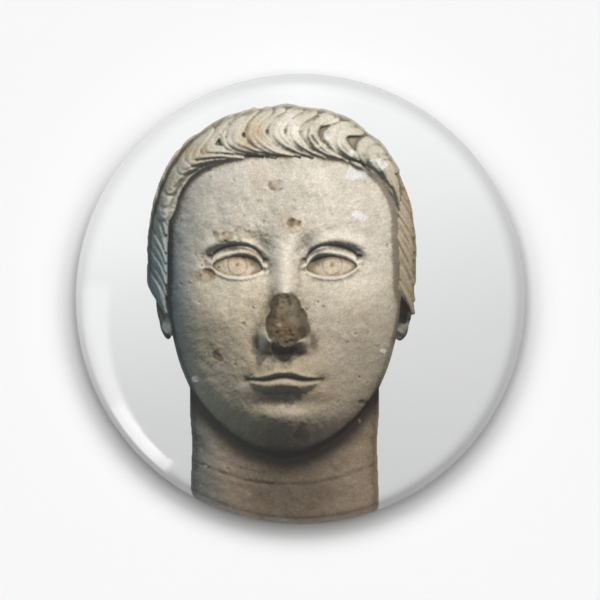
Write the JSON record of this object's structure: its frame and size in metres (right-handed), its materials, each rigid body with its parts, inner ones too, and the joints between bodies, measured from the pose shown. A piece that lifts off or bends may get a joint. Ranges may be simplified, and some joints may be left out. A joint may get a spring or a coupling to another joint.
{
  "type": "pin-back button badge",
  "caption": "Round pin-back button badge: domed tinplate front with a printed paper of a stone head under clear film, a pressed back plate and a wire safety pin that swings open.",
  "frame": {"origin": "on the surface the badge lies on, under the middle of its face", "axes": "+Z out of the printed face, +Y towards the top of the picture, +X to the picture's right"},
  "size_m": [0.058, 0.058, 0.0068],
  "materials": {
    "clear_film": "clear glossy film",
    "printed_paper": "printed picture: a weathered stone head on a white to grey ground",
    "tinplate": "bright rolled tinplate",
    "spring_steel": "plated spring wire"
  },
  "bodies": {
    "badge": {"front_shell": "tinplate", "printed_paper": "printed_paper", "clear_film": "clear_film", "back_plate": "tinplate", "pin_backbone": "spring_steel"},
    "pin": {"pin_needle": "spring_steel"}
  },
  "joints": [
    {"name": "pin_swing", "type": "hinge", "parent": "badge", "child": "pin", "pos_m": [-0.01487, 0, 0.00107], "axis": [0, 0, 1], "range_deg": [0, 30]}
  ]
}
